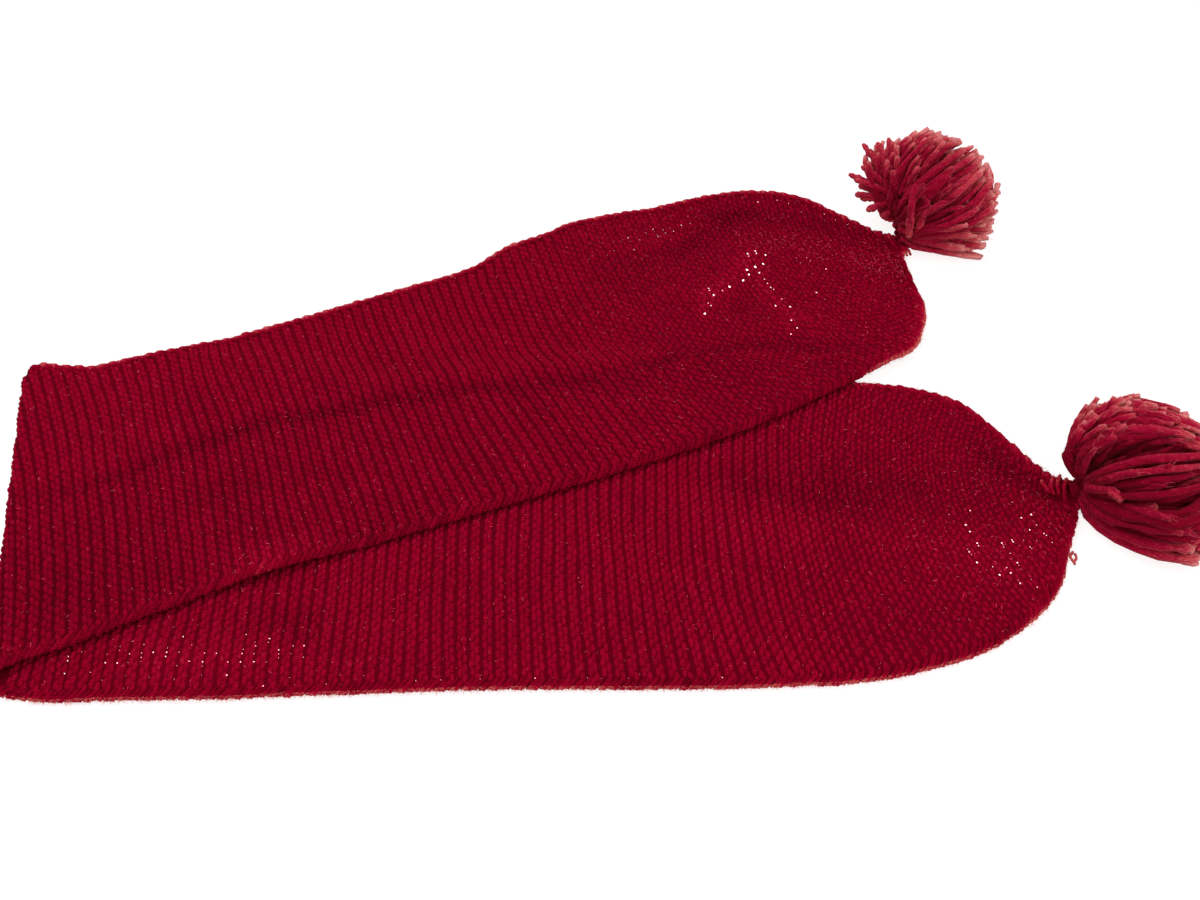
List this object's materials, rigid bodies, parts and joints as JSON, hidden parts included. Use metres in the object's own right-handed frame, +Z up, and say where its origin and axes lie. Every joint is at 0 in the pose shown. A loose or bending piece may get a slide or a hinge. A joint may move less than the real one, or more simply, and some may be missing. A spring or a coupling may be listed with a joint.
{
  "type": "knit scarf",
  "caption": "Garter-stitch wool scarf with gathered ends and a yarn pompom on each, folded once across and laid flat.",
  "frame": {"origin": "on the surface the scarf lies on, under the middle of its bounding box", "axes": "+Z up; +X from the fold towards the gathered ends; +Y towards the end of the upper arm"},
  "size_m": [0.6126, 0.3732, 0.0606],
  "materials": {
    "crimson_knit": "matte knitted wool",
    "pompom_yarn": "matte cut wool yarn"
  },
  "bodies": {
    "root": {"upper_stretch": "crimson_knit", "fold_turn": "crimson_knit", "lower_stretch": "crimson_knit", "upper_tie": "pompom_yarn", "lower_tie": "pompom_yarn", "upper_pompom": "pompom_yarn", "lower_pompom": "pompom_yarn"}
  },
  "joints": []
}
